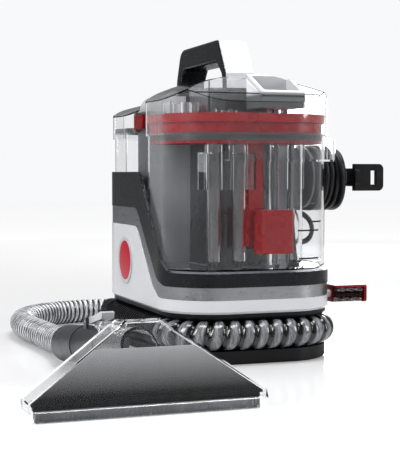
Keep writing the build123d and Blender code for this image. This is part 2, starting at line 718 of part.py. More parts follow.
def route_tube(points, radius):
    """Round tube along straight runs joined by tangent arcs; returns the path's length."""
    with BuildLine() as path:
        FilletPolyline(*points, radius=route_radii(points))
    wire = path.wire()
    with BuildSketch(Plane(origin=points[0], z_dir=wire % 0)) as section:
        Circle(radius)
    sweep(section.sketch, path=wire)
    return wire.length


with BuildPart() as cord_leads:
    lead_lengths = [route_tube(points, CORD_RADIUS) for points in (FIRST_LEAD, LAST_LEAD)]
save(cord_leads, "cord_leads")
print("lead radii", [round(r) for r in route_radii(FIRST_LEAD) + route_radii(LAST_LEAD)])
print("lead lengths", [round(length) for length in lead_lengths])
lead_section = math.pi * CORD_RADIUS**2
print("lead volume ratio", cord_leads.part.volume / (lead_section * sum(lead_lengths)))

PLUG_LENGTH = 34.0
PLUG_AXIS = (-0.06, -0.36, -0.93)
PLUG_PLANE = Plane(origin=LAST_LEAD[-1], x_dir=(1, 0, -0.0645), z_dir=PLUG_AXIS)
with BuildPart() as power_plug:
    with BuildSketch(PLUG_PLANE):
        Circle(4.4)
    with BuildSketch(PLUG_PLANE.offset(14)):
        RectangleRounded(22, 15, 5)
    loft()
    with BuildSketch(PLUG_PLANE.offset(14)):
        RectangleRounded(22, 15, 5)
    extrude(amount=PLUG_LENGTH - 14)
    with BuildSketch(PLUG_PLANE.offset(PLUG_LENGTH)):
        with Locations((-6.35, 0), (6.35, 0)):
            Rectangle(1.6, 6.4)
    extrude(amount=16)
save(power_plug, "power_plug")

# ------------------------------------------------------------------ stored brush
with BuildPart() as brush_peg:
    rod((94, 88, 65), (0, 1, 0), 4, 26)
    extrude(body_outline(50, 0), amount=40, mode=Mode.SUBTRACT)
save(brush_peg, "brush_peg")

BRUSH_Y = (97.0, 134.0)
with BuildPart() as brush_back:
    box_between((88, BRUSH_Y[0], 56), (110, BRUSH_Y[1], 74.5))
    fillet(brush_back.edges().filter_by(Axis.Y), 3)
    box_between((100, BRUSH_Y[0] - 1, 40), (120, BRUSH_Y[1] - 3, 72), Mode.SUBTRACT)
    rod((94, 90, 65), (0, 1, 0), 4.05, 26, Mode.SUBTRACT)
save(brush_back, "brush_back")

TUFT_ROWS = (59.0, 64.3, 69.6)
TUFT_COUNT = 6
with BuildPart() as brush_tufts:
    for row in TUFT_ROWS:
        for index in range(TUFT_COUNT):
            rod((100, 100.5 + 5.2 * index, row), (1, 0, 0), 2.1, 12)
save(brush_tufts, "brush_tufts")

# ------------------------------------------------------------------ hose
HOSE_Y = -87.0
PORT_X = (-118.0, -94.0)
with BuildPart() as hose_port:
    box_between((PORT_X[0], -101, 15), (PORT_X[1], -60, 45))
    fillet(hose_port.edges().filter_by(Axis.X).group_by(Axis.Y)[0], 13)
    extrude(body_outline(10, CORE_INSET), amount=50, mode=Mode.SUBTRACT)
save(hose_port, "hose_port")

SLEEVE_END = 60.0
SLEEVE_PITCH = 7.0
COLLAR_END = 84.0
with BuildPart() as hose_sleeve:
    rod((PORT_X[1], HOSE_Y, HOSE_HEIGHT), (1, 0, 0), 12.5, SLEEVE_END - PORT_X[1])
    rib_count = int((SLEEVE_END - PORT_X[1]) / SLEEVE_PITCH)
    for index in range(rib_count):
        rod((PORT_X[1] + 2 + SLEEVE_PITCH * index, HOSE_Y, HOSE_HEIGHT), (1, 0, 0), 14.6, 4)
    rod((SLEEVE_END, HOSE_Y, HOSE_HEIGHT), (1, 0, 0), 15.2, COLLAR_END - SLEEVE_END)
save(hose_sleeve, "hose_sleeve")

HOSE_ROUTE = [
    (84, -87, 30), (102, -87, 30), (132, -57, 30), (135, 0, 30), (132, 57, 30), (102, 87, 30),
    (46, 90, 30), (-28, 90, 30), (-92, 98, 30), (-158, 82, 23), (-217, 38, 16),
    (-248, -22, 15.2), (-252, -86, 15.2), (-232, -146, 15.2), (-184, -184, 15.2),
    (-116, -193, 15.2), (-48, -186, 15.2), (10, -184, 15.6), (61, -184, 19.5),
]
with BuildPart() as stretch_hose:
    hose_length = route_tube(HOSE_ROUTE, HOSE_RADIUS)
save(stretch_hose, "stretch_hose")
print("hose radii", [round(radius) for radius in route_radii(HOSE_ROUTE)])
print("hose length", round(hose_length, 1))
print("hose volume ratio", stretch_hose.part.volume / (math.pi * HOSE_RADIUS**2 * hose_length))

# ------------------------------------------------------------------ hand tool
TILT = math.radians(TOOL_TILT)
TOOL_AXIS = (math.cos(TILT), 0.0, math.sin(TILT))
TOOL_PLANE = Plane(origin=TOOL_START, x_dir=(0, 1, 0), z_dir=TOOL_AXIS)
TOOL_SIDE = Plane(origin=TOOL_START, x_dir=TOOL_AXIS, z_dir=(0, -1, 0))
CUFF_LENGTH = 78.0
HANDLE_LENGTH = 84.0
HANDLE_END = CUFF_LENGTH + HANDLE_LENGTH
NECK_LENGTH = 93.0
NECK_RADIUS = 16.5
NECK_WALL = 2.0
NECK_GAP = 0.4
HANDLE_BORE = 11.0
SPIGOT_RADIUS = HANDLE_BORE - 0.05
SPIGOT_LENGTH = 18.0
TRIGGER_PIVOT = (104.0, 22.6)
TRIGGER_PIN = 1.5
TRIGGER_HALF = 6.0


def tool_circle(distance, radius, across=0.0, up=0.0):
    """Circle square to the tool's axis, at a distance from its hose end."""
    with BuildSketch(TOOL_PLANE.offset(distance)) as section:
        with Locations((across, up)):
            Circle(radius)
    return section.sketch


def tool_side_shape(points, half_width, mode=Mode.ADD):
    """Closed outline given along and above the tool's axis, extruded to both sides."""
    with BuildSketch(TOOL_SIDE) as outline:
        with BuildLine():
            Polyline(*points, points[0])
        make_face()
    extrude(outline.sketch, amount=half_width, both=True, mode=mode)


with BuildPart() as hose_cuff:
    extrude(tool_circle(0, CUFF_RADIUS), amount=CUFF_LENGTH)
    extrude(tool_circle(6, CUFF_RADIUS - 4), amount=CUFF_LENGTH, mode=Mode.SUBTRACT)
save(hose_cuff, "hose_cuff")

with BuildPart() as tool_handle:
    with BuildSketch(TOOL_PLANE.offset(CUFF_LENGTH)):
        Circle(CUFF_RADIUS - 0.6)
    with BuildSketch(TOOL_PLANE.offset(CUFF_LENGTH + HANDLE_LENGTH / 2)):
        Ellipse(16.5, 18)
    with BuildSketch(TOOL_PLANE.offset(HANDLE_END)):
        Circle(NECK_RADIUS + 1.5)
    loft()
    for side in (-1, 1):
        with BuildSketch(TOOL_SIDE.offset(side * (TRIGGER_HALF + 1.8))) as ear:
            with Locations((TRIGGER_PIVOT[0], 19)):
                Rectangle(9, 14)
        extrude(ear.sketch, amount=1.3, both=True)
    with BuildSketch(TOOL_SIDE) as pin_hole:
        with Locations(TRIGGER_PIVOT):
            Circle(TRIGGER_PIN + 0.05)
    extrude(pin_hole.sketch, amount=12, both=True, mode=Mode.SUBTRACT)
    extrude(tool_circle(CUFF_LENGTH, HANDLE_BORE), amount=HANDLE_LENGTH, mode=Mode.SUBTRACT)
save(tool_handle, "tool_handle")

with BuildPart() as spray_trigger:
    tool_side_shape(
        [
            (100.5, 20.4), (106, 19.6), (126, 22), (152, 24.4),
            (156, 30), (150, 31.2), (128, 28), (101, 25.6),
        ],
        TRIGGER_HALF,
    )
    with BuildSketch(TOOL_SIDE) as pin:
        with Locations(TRIGGER_PIVOT):
            Circle(TRIGGER_PIN)
    extrude(pin.sketch, amount=TRIGGER_HALF + 3, both=True)
save(spray_trigger, "spray_trigger")

WINDOW_FOOT = (354.0, 9.0)
WINDOW_TOP = (319.0, 75.0)
BACK_FOOT = (326.0, 9.0)
BACK_TOP = (298.0, 69.0)
MOUTH_Y = TOOL_Y - 3.0
SHOULDER_HALF = 15.0
SKIRT = 7.0


def fan_front(inset, low):
    """Triangular front outline of the fan, on a vertical plane square to X."""
    with BuildSketch(Plane.YZ) as outline:
        with BuildLine():
            Polyline(
                (MOUTH_Y - MOUTH_HALF + inset, low),
                (MOUTH_Y + MOUTH_HALF - inset, low),
                (MOUTH_Y + MOUTH_HALF - inset, WINDOW_FOOT[1] + SKIRT - 0.4 * inset),
                (TOOL_Y + SHOULDER_HALF - 0.4 * inset, WINDOW_TOP[1] - inset),
                (TOOL_Y - SHOULDER_HALF + 0.4 * inset, WINDOW_TOP[1] - inset),
                (MOUTH_Y - MOUTH_HALF + inset, WINDOW_FOOT[1] + SKIRT - 0.4 * inset),
                (MOUTH_Y - MOUTH_HALF + inset, low),
            )
        make_face()
    return outline.sketch


def fan_side(front_inset, low, back_foot, back_top):
    """Outline of the fan from the side: the window line in front, another line behind."""
    slope = (WINDOW_TOP[0] - WINDOW_FOOT[0]) / (WINDOW_TOP[1] - WINDOW_FOOT[1])
    shift = slope * (low - WINDOW_FOOT[1])
    with BuildSketch(Plane.XZ) as outline:
        with BuildLine():
            Polyline(
                (back_foot[0] + shift, low),
                (WINDOW_FOOT[0] - front_inset + shift, low),
                (WINDOW_TOP[0] - front_inset, WINDOW_TOP[1]),
                back_top,
                (back_foot[0] + shift, low),
            )
        make_face()
    return outline.sketch


def fan_solid(inset, front_inset, low, back_foot, back_top):
    """Fan between its front outline and its side outline, pulled in by the insets."""
    with BuildPart() as fan:
        extrude(fan_front(inset, low), amount=WIDE)
        side_outline = fan_side(front_inset, low, back_foot, back_top)
        extrude(side_outline, amount=WIDE, both=True, mode=Mode.INTERSECT)
    return fan.part


PLANE_WALL = NOZZLE_WALL * 1.2
fan_outer = fan_solid(0, 0, WINDOW_FOOT[1], BACK_FOOT, BACK_TOP)
fan_inner = fan_solid(
    NOZZLE_WALL, PLANE_WALL, WINDOW_FOOT[1] - 4,
    (BACK_FOOT[0] + PLANE_WALL, 0), (BACK_TOP[0] + PLANE_WALL, BACK_TOP[1]),
)
with BuildPart() as nozzle_shell:
    add(fan_outer)
    extrude(tool_circle(HANDLE_END + NECK_GAP, NECK_RADIUS), amount=NECK_LENGTH - NECK_GAP)
    add(fan_inner, mode=Mode.SUBTRACT)
    neck_bore = tool_circle(HANDLE_END + 3, NECK_RADIUS - NECK_WALL)
    extrude(neck_bore, amount=NECK_LENGTH, mode=Mode.SUBTRACT)
    extrude(tool_circle(HANDLE_END - SPIGOT_LENGTH, SPIGOT_RADIUS), amount=SPIGOT_LENGTH + 1)
    extrude(tool_circle(HANDLE_END - SPIGOT_LENGTH, 9), amount=WIDE / 20, mode=Mode.SUBTRACT)
save(nozzle_shell, "nozzle_shell")

PANEL_TOP = 52.0
PANEL_BACK = PLANE_WALL + 3.0
panel_slab = fan_solid(
    NOZZLE_WALL + 0.8, PLANE_WALL + 0.8, WINDOW_FOOT[1] + 4,
    (WINDOW_FOOT[0] - PANEL_BACK, 0), (WINDOW_TOP[0] - PANEL_BACK, WINDOW_TOP[1]),
)
with BuildPart() as nozzle_panel:
    add(panel_slab)
    box_between((200, -400, 0), (400, 0, PANEL_TOP), Mode.INTERSECT)
    box_between((341, MOUTH_Y - MOUTH_HALF + 5, 9), (346.5, MOUTH_Y + MOUTH_HALF - 5, 16))
save(nozzle_panel, "nozzle_panel")

BRUSH_HALF = 95.5
with BuildPart() as brush_strip:
    box_between((341, MOUTH_Y - BRUSH_HALF, 0), (351, MOUTH_Y + BRUSH_HALF, 9))
save(brush_strip, "brush_strip")

with BuildPart() as spray_tip:
    extrude(tool_circle(HANDLE_END + 1, 3.4, -12, 19), amount=62)
    extrude(tool_circle(HANDLE_END + 63, 5, -12, 19), amount=12)
    for distance in (HANDLE_END + 10, HANDLE_END + 56):
        extrude(tool_circle(distance, 5, -10, 15.5), amount=6)
    extrude(tool_circle(HANDLE_END, NECK_RADIUS), amount=NECK_LENGTH, mode=Mode.SUBTRACT)
save(spray_tip, "spray_tip")

print(len(NAMES), "nodes")
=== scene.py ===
"""Portable spot extractor: camera, stretch hose, power cord, bristles, materials and light
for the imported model.  Metres, +Z up, badge side towards -Y, recovery tank towards +X."""
import json
import math
import random

import bpy
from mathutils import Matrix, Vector


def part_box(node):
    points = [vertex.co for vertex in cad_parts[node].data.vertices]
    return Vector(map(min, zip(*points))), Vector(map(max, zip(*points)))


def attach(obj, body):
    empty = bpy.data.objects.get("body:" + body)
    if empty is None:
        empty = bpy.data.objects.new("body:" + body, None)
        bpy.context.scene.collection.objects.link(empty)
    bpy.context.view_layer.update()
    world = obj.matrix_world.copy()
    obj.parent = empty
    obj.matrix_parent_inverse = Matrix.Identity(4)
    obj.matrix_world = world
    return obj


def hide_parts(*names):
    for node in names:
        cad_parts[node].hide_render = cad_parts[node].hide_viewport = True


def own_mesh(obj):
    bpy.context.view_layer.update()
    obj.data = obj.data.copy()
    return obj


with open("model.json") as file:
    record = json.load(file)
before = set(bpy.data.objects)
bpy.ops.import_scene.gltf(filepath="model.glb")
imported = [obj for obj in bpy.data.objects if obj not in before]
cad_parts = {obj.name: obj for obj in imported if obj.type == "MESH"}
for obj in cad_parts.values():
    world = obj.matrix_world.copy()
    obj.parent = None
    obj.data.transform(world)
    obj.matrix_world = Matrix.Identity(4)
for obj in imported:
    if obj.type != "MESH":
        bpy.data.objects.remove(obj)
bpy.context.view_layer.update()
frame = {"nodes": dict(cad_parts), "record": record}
nodes = frame["nodes"]
scene = bpy.context.scene
dice = random.Random(7)

# ------------------------------------------------------------------ camera
# Angles in degrees: the heading turns from +Y towards -X, and the dip is below level.
CAMERA_PLACE = (1.2688, -0.4797, 0.198)
CAMERA_HEADING = 70
CAMERA_DIP = 2.7
FOCAL_LENGTH = 95.55

lens = bpy.data.cameras.new("camera")
lens.sensor_fit = "VERTICAL"
lens.sensor_height = 36
lens.lens = FOCAL_LENGTH
lens.clip_end = 20
camera = bpy.data.objects.new("camera", lens)
camera.location = CAMERA_PLACE
camera.rotation_euler = (math.radians(90 - CAMERA_DIP), 0, math.radians(CAMERA_HEADING))
scene.collection.objects.link(camera)
scene.camera = camera


# ------------------------------------------------------------------ shared shapes
def piece(name, verts, faces, body, smooth=True):
    """New mesh object that rides on a body."""
    mesh = bpy.data.meshes.new(name)
    mesh.from_pydata(verts, [], faces)
    mesh.polygons.foreach_set("use_smooth", [smooth] * len(mesh.polygons))
    mesh.update()
    made = bpy.data.objects.new(name, mesh)
    scene.collection.objects.link(made)
    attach(made, body)
    return made


def ring_faces(rings, sides):
    """Faces of a skin over rings of points, closed by a cap at each end."""
    faces = []
    for ring in range(rings - 1):
        for side in range(sides):
            after = (side + 1) % sides
            low, high = ring * sides, (ring + 1) * sides
            faces.append((low + side, low + after, high + after, high + side))
    faces.append(tuple(reversed(range(sides))))
    faces.append(tuple(range((rings - 1) * sides, rings * sides)))
    return faces


def smooth_curve(name, points):
    """Open quadratic NURBS curve with the given control points."""
    data = bpy.data.curves.new(name, "CURVE")
    data.dimensions = "3D"
    data.resolution_u = 12
    spline = data.splines.new("NURBS")
    spline.points.add(len(points) - 1)
    for target, point in zip(spline.points, points):
        target.co = (*point, 1)
    spline.order_u = 3
    spline.use_endpoint_u = True
    made = bpy.data.objects.new(name, data)
    scene.collection.objects.link(made)
    return made


def line_of(points, step):
    """Evenly spaced points along the smooth curve of some control points, and its length."""
    guide = smooth_curve("guide", points)
    bpy.context.view_layer.update()
    depsgraph = bpy.context.evaluated_depsgraph_get()
    mesh = bpy.data.meshes.new_from_object(guide.evaluated_get(depsgraph))
    raw = [vertex.co.copy() for vertex in mesh.vertices]
    bpy.data.meshes.remove(mesh)
    bpy.data.objects.remove(guide)
    reach = [0.0]
    for here, after in zip(raw, raw[1:]):
        reach.append(reach[-1] + (after - here).length)
    count = max(2, round(reach[-1] / step))
    even, index = [], 0
    for number in range(count + 1):
        goal = reach[-1] * number / count
        while index < len(raw) - 2 and reach[index + 1] < goal:
            index += 1
        share = (goal - reach[index]) / max(reach[index + 1] - reach[index], 1e-9)
        even.append(raw[index].lerp(raw[index + 1], share))
    return even, reach[-1]


def tube(name, line, radius_at, sides, body):
    """Tube of varying radius along a line; radius_at takes the distance and the angle."""
    verts = []
    across = Vector((0, 0, 1))
    distance = 0.0
    for number, point in enumerate(line):
        ahead = (line[min(number + 1, len(line) - 1)] - line[max(number - 1, 0)]).normalized()
        across = (across - ahead * across.dot(ahead)).normalized()
        other = ahead.cross(across)
        if number:
            distance += (point - line[number - 1]).length
        for side in range(sides):
            angle = math.tau * side / sides
            radius = radius_at(distance, angle)
            verts.append(point + radius * (math.cos(angle) * across + math.sin(angle) * other))
    return piece(name, verts, ring_faces(len(line), sides), body)


# ------------------------------------------------------------------ stretch hose
HOSE_ROUTE = [
    (0.084, -0.087, 0.030), (0.102, -0.087, 0.030), (0.132, -0.057, 0.030),
    (0.135, 0.000, 0.030), (0.132, 0.057, 0.030), (0.102, 0.087, 0.030),
    (0.046, 0.090, 0.030), (-0.028, 0.090, 0.030), (-0.092, 0.098, 0.030),
    (-0.158, 0.082, 0.023), (-0.217, 0.038, 0.016), (-0.248, -0.022, 0.0152),
    (-0.252, -0.086, 0.0152), (-0.232, -0.146, 0.0152), (-0.184, -0.184, 0.0152),
    (-0.116, -0.193, 0.0152), (-0.048, -0.186, 0.0152), (0.010, -0.184, 0.0156),
    (0.061, -0.184, 0.0195),
]
HOSE_RADIUS = 0.0149
HOSE_SIDES = 44
HOSE_STEP = 0.00085
RIB_DEPTH = 0.0042
RIB_SQUARENESS = 2.6
SLACK_PITCH = 0.0153
TIGHT_PITCH = 0.0078
TIGHT_RUN = 0.50
EASING_RUN = 0.2
TIGHT_GAIN = 0.35
hose_line, hose_length = line_of(HOSE_ROUTE, HOSE_STEP)


def rib_turns(distance):
    """Turns of the wire helix up to a distance: wide at first, closer in the run to the tool."""
    start = hose_length - TIGHT_RUN
    if distance <= start:
        return distance / SLACK_PITCH
    share = min((distance - start) / EASING_RUN, 1.0)
    pitch = SLACK_PITCH + (TIGHT_PITCH - SLACK_PITCH) * share
    closer = (distance - start) * 2 / (SLACK_PITCH + pitch)
    return start / SLACK_PITCH + closer * (1 + TIGHT_GAIN * share)


def rib_wave(distance, angle):
    """Height of the ribbed wall, 0 in a groove and 1 on a rounded rib."""
    phase = (rib_turns(distance) + angle / math.tau) % 1.0
    return math.sqrt(max(0.0, 1 - abs(2 * phase - 1) ** RIB_SQUARENESS))


def point_values(mesh, name, values):
    """Stores a number for each point of a mesh, for its material to read."""
    mesh.attributes.new(name, "FLOAT", "POINT").data.foreach_set("value", values)


stretch = tube(
    "hose_ribbed_wall", hose_line,
    lambda distance, angle: HOSE_RADIUS - RIB_DEPTH * (1 - rib_wave(distance, angle)),
    HOSE_SIDES, "base",
)
heights, shares = [], []
for ring in range(len(hose_line)):
    share = ring / (len(hose_line) - 1)
    for side in range(HOSE_SIDES):
        heights.append(rib_wave(hose_length * share, math.tau * side / HOSE_SIDES))
        shares.append(share)
point_values(stretch.data, "rib", heights)
point_values(stretch.data, "run", shares)
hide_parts("stretch_hose")

# ------------------------------------------------------------------ power cord
CORD_RADIUS = 0.00325
CORD_SIDES = 16
CORD_STEP = 0.002
HUB_X, HUB_Z = 0.0, 0.190
TURNS_DIFFER = 0.02
TURNS_PHASE = 2.4
FIRST_LEAD = [
    (-0.030, 0.115, 0.112), (-0.030, 0.1265, 0.1124), (-0.0301, 0.1375, 0.1185),
    (-0.030, 0.1405, 0.130), (-0.0315, 0.1345, 0.1415), (-0.0355, 0.121, 0.1495),
    (-0.0415, 0.1035, 0.158),
]
LAST_LEAD = [
    (-0.0405, 0.1415, 0.1575), (-0.0515, 0.1465, 0.1635), (-0.0625, 0.1505, 0.167),
    (-0.073, 0.1505, 0.1640), (-0.080, 0.1445, 0.1560), (-0.084, 0.136, 0.146),
    (-0.086, 0.128, 0.134),
]
# One turn round the hub: which end the point is at, from -1 to 1, and its angle in degrees.
# It goes over the left end, along the top, round the right end and back underneath.
TURN = [
    (-1, 210), (-1, 180), (-1, 150), (-1, 120), (-1, 90), (-0.4, 90), (0.4, 90), (1, 90),
    (1, 60), (1, 30), (1, 0), (1, -30), (1, -60), (1, -90), (0.4, -90), (-0.4, -90),
    (-1, -90), (-1, 240),
]
ALMOST_ONE = 1 - 1 / len(TURN)


def winding(turns, straight, radius, sag, start_y, end_y):
    """Points of some turns round the hub, each a little larger or smaller and sagging below it."""
    points = []
    steps = round(turns * len(TURN))
    for step in range(steps):
        side, angle = TURN[step % len(TURN)]
        loose = 1 + TURNS_DIFFER * math.sin(TURNS_PHASE * (step // len(TURN)))
        x = HUB_X + side * straight + radius * loose * math.cos(math.radians(angle))
        z = HUB_Z + radius * loose * math.sin(math.radians(angle))
        if z < HUB_Z:
            z -= sag * (HUB_Z - z) / radius
        y = start_y + (end_y - start_y) * step / max(steps - 1, 1)
        points.append((x, y, z))
    return points


CORD_ROUTE = (
    FIRST_LEAD
    + winding(5, straight=0.0255, radius=0.0247, sag=0.0015, start_y=0.1035, end_y=0.1345)
    + winding(4, straight=0.0285, radius=0.0312, sag=0.003, start_y=0.1345, end_y=0.108)
    + winding(ALMOST_ONE, straight=0.0300, radius=0.0335, sag=0.001, start_y=0.112, end_y=0.138)
    + LAST_LEAD
)
cord_line, cord_length = line_of(CORD_ROUTE, CORD_STEP)
cord = tube(
    "power_cord", cord_line, lambda distance, angle: CORD_RADIUS, CORD_SIDES,
    "base",
)
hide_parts("cord_coil", "cord_leads")


# ------------------------------------------------------------------ materials
def begin(name):
    """New material; returns it with its tree, its shader and a metre-scale coordinate."""
    material = bpy.data.materials.new(name)
    material.use_nodes = True
    tree = material.node_tree
    shader = tree.nodes["Principled BSDF"]
    place = tree.nodes.new("ShaderNodeTexCoord").outputs["Object"]
    return material, tree, shader, place


def noise_node(tree, place, scale, detail=3.0, rough=0.55):
    """Noise texture at a scale in cells per metre."""
    node = tree.nodes.new("ShaderNodeTexNoise")
    node.inputs["Scale"].default_value = scale
    node.inputs["Detail"].default_value = detail
    node.inputs["Roughness"].default_value = rough
    tree.links.new(place, node.inputs["Vector"])
    return node.outputs["Fac"]


def ramped(tree, value, start, end, low=0.0, high=1.0):
    """Maps a value that runs from start to end to low..high."""
    node = tree.nodes.new("ShaderNodeMapRange")
    node.inputs["From Min"].default_value = start
    node.inputs["From Max"].default_value = end
    node.inputs["To Min"].default_value = low
    node.inputs["To Max"].default_value = high
    tree.links.new(value, node.inputs["Value"])
    return node.outputs["Result"]


def spread(tree, value, low, high):
    """Maps a noise value from its usual middle range to low..high."""
    return ramped(tree, value, 0.3, 0.7, low, high)


def along(tree, place, axis, start, end):
    """0 before one place along an axis and 1 after another."""
    parts = tree.nodes.new("ShaderNodeSeparateXYZ")
    tree.links.new(place, parts.inputs["Vector"])
    return ramped(tree, parts.outputs[axis], start, end)


def named_value(tree, name):
    """Number that a mesh stores for each of its points."""
    node = tree.nodes.new("ShaderNodeAttribute")
    node.attribute_name = name
    return node.outputs["Fac"]


def blend_colours(tree, value, first, second):
    """Colour between two by a value from 0 to 1."""
    node = tree.nodes.new("ShaderNodeMix")
    node.data_type = "RGBA"
    node.inputs["A"].default_value = (*first, 1)
    node.inputs["B"].default_value = (*second, 1)
    tree.links.new(value, node.inputs["Factor"])
    return node.outputs["Result"]


def bumped(tree, shader, value, strength, distance):
    """Adds a bump to the shader from a height value; distance is in metres."""
    node = tree.nodes.new("ShaderNodeBump")
    node.inputs["Strength"].default_value = strength
    node.inputs["Distance"].default_value = distance
    tree.links.new(value, node.inputs["Height"])
    tree.links.new(node.outputs["Normal"], shader.inputs["Normal"])


def plastic(name, colour, roughness, grain=1400, relief=0.06, mottle=0.10, coat=0.0, gloss=0.5):
    """Moulded plastic or paint: slight colour drift, uneven gloss and a fine moulded grain."""
    material, tree, shader, place = begin(name)
    drift = spread(tree, noise_node(tree, place, 22), 0, 1)
    dark = tuple(channel * (1 - mottle) for channel in colour)
    light = tuple(min(1, channel * (1 + mottle)) for channel in colour)
    tree.links.new(blend_colours(tree, drift, dark, light), shader.inputs["Base Color"])
    uneven = spread(tree, noise_node(tree, place, 70, 5), 0.82 * roughness, 1.2 * roughness)
    tree.links.new(uneven, shader.inputs["Roughness"])
    bumped(tree, shader, noise_node(tree, place, grain, 2), relief, 0.00006)
    shader.inputs["Specular IOR Level"].default_value = gloss
    shader.inputs["Coat Weight"].default_value = coat
    shader.inputs["Coat Roughness"].default_value = 0.06
    return material


def clear(name, tint, roughness=0.03, ior=1.4, haze=0.0, wave=0.05):
    """Clear moulded plastic with a faint wave in its wall; the lamps shine through it."""
    material, tree, shader, place = begin(name)
    soft = spread(tree, noise_node(tree, place, 30, 4), roughness * 0.6, roughness * 1.6)
    tree.links.new(soft, shader.inputs["Roughness"])
    drift = spread(tree, noise_node(tree, place, 14), 0, 1)
    deep = tuple(channel * 0.97 for channel in tint)
    tree.links.new(blend_colours(tree, drift, deep, tint), shader.inputs["Base Color"])
    shader.inputs["Transmission Weight"].default_value = 1 - haze
    shader.inputs["IOR"].default_value = ior
    bumped(tree, shader, noise_node(tree, place, 45, 2), wave, 0.0006)
    path = tree.nodes.new("ShaderNodeLightPath")
    window = tree.nodes.new("ShaderNodeBsdfTransparent")
    window.inputs["Color"].default_value = (*[0.5 + 0.5 * channel for channel in tint], 1)
    mixer = tree.nodes.new("ShaderNodeMixShader")
    tree.links.new(path.outputs["Is Shadow Ray"], mixer.inputs["Fac"])
    tree.links.new(shader.outputs["BSDF"], mixer.inputs[1])
    tree.links.new(window.outputs["BSDF"], mixer.inputs[2])
    tree.links.new(mixer.outputs["Shader"], tree.nodes["Material Output"].inputs["Surface"])
    return material


def brushed(name, colour, roughness, squeeze=(1, 1, 30)):
    """Metallic finish with fine streaks across the axis of the largest squeeze."""
    material, tree, shader, place = begin(name)
    mapping = tree.nodes.new("ShaderNodeMapping")
    mapping.inputs["Scale"].default_value = squeeze
    tree.links.new(place, mapping.inputs["Vector"])
    streak = noise_node(tree, mapping.outputs["Vector"], 90, 6, 0.7)
    dark = tuple(channel * 0.94 for channel in colour)
    tone = blend_colours(tree, spread(tree, streak, 0, 1), dark, colour)
    tree.links.new(tone, shader.inputs["Base Color"])
    uneven = spread(tree, streak, roughness * 0.8, roughness * 1.3)
    tree.links.new(uneven, shader.inputs["Roughness"])
    bumped(tree, shader, streak, 0.01, 0.00002)
    shader.inputs["Metallic"].default_value = 1.0
    return material


# Hose wall: tones of the ribs' flanks and crests, heights on a rib from 0 to 1, and the shares of
# the hose's length where the channel's tones end and the outside tones begin. The near-black
# grooves are painted shade and the pale crests painted highlight; the darker channel tones are
# painted shadow under the machine, the lighter outside tones painted light.
CHANNEL_SHADOW_TONES = ((0.012, 0.013, 0.015), (0.30, 0.31, 0.33))
OUTSIDE_LIT_TONES = ((0.16, 0.165, 0.175), (0.80, 0.81, 0.83))
GROOVE_SHADE_TONE = (0.004, 0.004, 0.005)
GROOVE_TO, FLANK_AT, CREST_FROM = 0.55, 0.84, 0.99
CHANNEL_TO, OUTSIDE_FROM = 0.24, 0.55
STREAK_SQUEEZE = 0.14


def ribbed_skin(name):
    """Ribbed hose wall with painted light: painted shade in the near-black grooves, painted
    highlight on the crests and in pale streaks, and painted shadow darkening it in the channel.
    """
    material, tree, shader, place = begin(name)
    height = named_value(tree, "rib")
    run = named_value(tree, "run")
    length_wise = tree.nodes.new("ShaderNodeCombineXYZ")
    tree.links.new(run, length_wise.inputs["X"])
    wrapped = tree.nodes.new("ShaderNodeVectorMath")
    wrapped.operation = "MULTIPLY_ADD"
    wrapped.inputs[1].default_value = (STREAK_SQUEEZE, STREAK_SQUEEZE, STREAK_SQUEEZE)
    tree.links.new(place, wrapped.inputs[0])
    tree.links.new(length_wise.outputs["Vector"], wrapped.inputs[2])
    streak = noise_node(tree, wrapped.outputs["Vector"], 620, 4, 0.7)
    tones = []
    for flank, crest in (CHANNEL_SHADOW_TONES, OUTSIDE_LIT_TONES):
        ramp = tree.nodes.new("ShaderNodeValToRGB")
        ramp.color_ramp.elements[0].position = GROOVE_TO
        ramp.color_ramp.elements[0].color = (*GROOVE_SHADE_TONE, 1)
        ramp.color_ramp.elements[1].position = CREST_FROM
        ramp.color_ramp.elements[1].color = (*crest, 1)
        ramp.color_ramp.elements.new(FLANK_AT).color = (*flank, 1)
        tree.links.new(height, ramp.inputs["Fac"])
        tones.append(ramp.outputs["Color"])
    # Painted shadow: the hose is darker in the channel under the machine than outside, where it
    # takes painted light.
    both = tree.nodes.new("ShaderNodeMix")
    both.data_type = "RGBA"
    tree.links.new(ramped(tree, run, CHANNEL_TO, OUTSIDE_FROM), both.inputs["Factor"])
    tree.links.new(tones[0], both.inputs["A"])
    tree.links.new(tones[1], both.inputs["B"])
    tint = tree.nodes.new("ShaderNodeMix")
    tint.data_type = "RGBA"
    tint.blend_type = "MULTIPLY"
    tint.inputs["Factor"].default_value = 0.9
    tree.links.new(both.outputs["Result"], tint.inputs["A"])
    # Painted highlight: pale streaks multiplied into the tone stand in for reflections on the
    # glossy wall.
    pale = blend_colours(tree, spread(tree, streak, -0.3, 1.3), (0.14, 0.14, 0.15), (1, 1, 1))
    tree.links.new(pale, tint.inputs["B"])
    tree.links.new(tint.outputs["Result"], shader.inputs["Base Color"])
    tree.links.new(spread(tree, streak, 0.08, 0.26), shader.inputs["Roughness"])
    shader.inputs["Coat Weight"].default_value = 0.5
    shader.inputs["Coat Roughness"].default_value = 0.08
    bumped(tree, shader, streak, 0.2, 0.0003)
    return material


def window_panel(name):
    """Satin panel behind the nozzle's window, painted lit grey along its top and painted shade near
    black at its foot.
    """
    material, tree, shader, place = begin(name)
    # Painted light from above: the tone rises from near black at the foot to grey at the top.
    painted_light_rise = along(tree, place, "Z", 0.018, 0.058)
    tone = blend_colours(tree, painted_light_rise, (0.001, 0.001, 0.001), (0.20, 0.20, 0.205))
    tree.links.new(tone, shader.inputs["Base Color"])
    uneven = spread(tree, noise_node(tree, place, 60), 0.34, 0.46)
    tree.links.new(uneven, shader.inputs["Roughness"])
    shader.inputs["Specular IOR Level"].default_value = 0.06
    bumped(tree, shader, noise_node(tree, place, 900, 2), 0.01, 0.00003)
    return material


